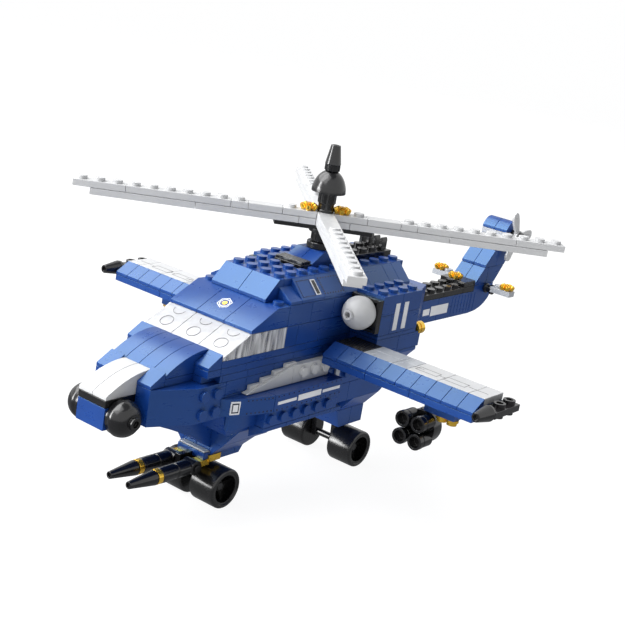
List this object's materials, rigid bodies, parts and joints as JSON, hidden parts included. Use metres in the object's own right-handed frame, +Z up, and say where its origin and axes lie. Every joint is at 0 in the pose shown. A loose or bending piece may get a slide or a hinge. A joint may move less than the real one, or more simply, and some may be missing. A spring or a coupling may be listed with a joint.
{
  "type": "toy helicopter",
  "caption": "Toy attack helicopter built from studded plastic bricks: four-arm rotor, tail rotor, stub wings with rocket pods, tilting chin guns and rolling wheels.",
  "frame": {"origin": "on the surface the wheels stand on, under the middle of the length and width", "axes": "+Z up, nose towards -Y, tail towards +Y, port side towards +X"},
  "size_m": [0.2318, 0.3239, 0.1597],
  "materials": {
    "blue_plastic": "glossy",
    "white_plastic": "glossy",
    "black_plastic": "glossy",
    "black_tyre": "glossy",
    "light_grey_plastic": "glossy",
    "clear_plastic": "clear"
  },
  "bodies": {
    "fuselage": {"boom_deck": "black_plastic", "cabin_block": "blue_plastic", "canopy": "clear_plastic", "chin_block": "blue_plastic", "clip_plate": "black_plastic", "fin_cap": "blue_plastic", "fin_plate": "light_grey_plastic", "gun_mount": "black_plastic", "hood": "blue_plastic", "hull_tub": "blue_plastic", "intake_dome_port": "white_plastic", "intake_dome_starboard": "white_plastic", "intake_frame_port": "black_plastic", "intake_frame_starboard": "black_plastic", "mast_base": "black_plastic", "nacelle_port": "blue_plastic", "nacelle_starboard": "blue_plastic", "nose_block": "blue_plastic", "nose_cap": "white_plastic", "nose_dome_port": "black_plastic", "nose_dome_starboard": "black_plastic", "nose_plate": "black_plastic", "nose_wheel_carrier": "black_plastic", "pilot_seat": "black_plastic", "pylon_port": "blue_plastic", "pylon_starboard": "blue_plastic", "rear_wheel_carrier": "black_plastic", "rocket_pod_port": "black_plastic", "rocket_pod_starboard": "black_plastic", "side_pod_port": "blue_plastic", "side_pod_starboard": "blue_plastic", "side_wedge_port": "white_plastic", "side_wedge_starboard": "white_plastic", "tail_boom": "blue_plastic", "tail_fin": "blue_plastic", "tail_rotor_pin": "black_plastic", "upper_deck": "blue_plastic", "vent_grille": "black_plastic", "wing_port": "blue_plastic", "wing_starboard": "blue_plastic", "wing_tiles_port": "white_plastic", "wing_tiles_starboard": "white_plastic", "wing_tip_port": "black_plastic", "wing_tip_starboard": "black_plastic"},
    "rotor": {"rotor_spar": "white_plastic", "rotor_arm_port": "white_plastic", "rotor_arm_starboard": "white_plastic", "rotor_hub_plate": "black_plastic", "rotor_mast": "black_plastic", "rotor_dome": "black_plastic", "rotor_cone": "black_plastic"},
    "tail_rotor": {"tail_rotor": "white_plastic"},
    "nose_wheel_port": {"nose_wheel_port": "black_tyre"},
    "nose_wheel_starboard": {"nose_wheel_starboard": "black_tyre"},
    "rear_wheel_port": {"rear_wheel_port": "black_tyre"},
    "rear_wheel_starboard": {"rear_wheel_starboard": "black_tyre"},
    "gun_port": {"gun_port": "black_plastic"},
    "gun_starboard": {"gun_starboard": "black_plastic"},
    "stabiliser_port": {"stabiliser_port": "light_grey_plastic"},
    "stabiliser_starboard": {"stabiliser_starboard": "light_grey_plastic"}
  },
  "joints": [
    {"name": "rotor_spin", "type": "hinge", "parent": "fuselage", "child": "rotor", "pos_m": [0, -0.0276, 0.12208], "axis": [0, 0, 1], "continuous": true},
    {"name": "tail_rotor_spin", "type": "hinge", "parent": "fuselage", "child": "tail_rotor", "pos_m": [0.008, 0.146, 0.1064], "axis": [1, 0, 0], "continuous": true},
    {"name": "nose_wheel_port_roll", "type": "hinge", "parent": "fuselage", "child": "nose_wheel_port", "pos_m": [0.00254, -0.09, 0.0094], "axis": [1, 0, 0], "continuous": true},
    {"name": "rear_wheel_port_roll", "type": "hinge", "parent": "fuselage", "child": "rear_wheel_port", "pos_m": [0.0079, 0.0044, 0.0094], "axis": [1, 0, 0], "continuous": true},
    {"name": "gun_port_tilt", "type": "hinge", "parent": "fuselage", "child": "gun_port", "pos_m": [0.0024, -0.1032, 0.01968], "axis": [-1, 0, 0], "range_deg": [-25, 10]},
    {"name": "stabiliser_port_swivel", "type": "hinge", "parent": "fuselage", "child": "stabiliser_port", "pos_m": [0.008, 0.126, 0.07696], "axis": [1, 0, 0], "range_deg": [-40, 40]},
    {"name": "nose_wheel_starboard_roll", "type": "hinge", "parent": "fuselage", "child": "nose_wheel_starboard", "pos_m": [-0.00254, -0.09, 0.0094], "axis": [1, 0, 0], "continuous": true},
    {"name": "rear_wheel_starboard_roll", "type": "hinge", "parent": "fuselage", "child": "rear_wheel_starboard", "pos_m": [-0.0079, 0.0044, 0.0094], "axis": [1, 0, 0], "continuous": true},
    {"name": "gun_starboard_tilt", "type": "hinge", "parent": "fuselage", "child": "gun_starboard", "pos_m": [-0.0024, -0.1032, 0.01968], "axis": [-1, 0, 0], "range_deg": [-25, 10]},
    {"name": "stabiliser_starboard_swivel", "type": "hinge", "parent": "fuselage", "child": "stabiliser_starboard", "pos_m": [-0.008, 0.126, 0.07696], "axis": [1, 0, 0], "range_deg": [-40, 40]}
  ]
}
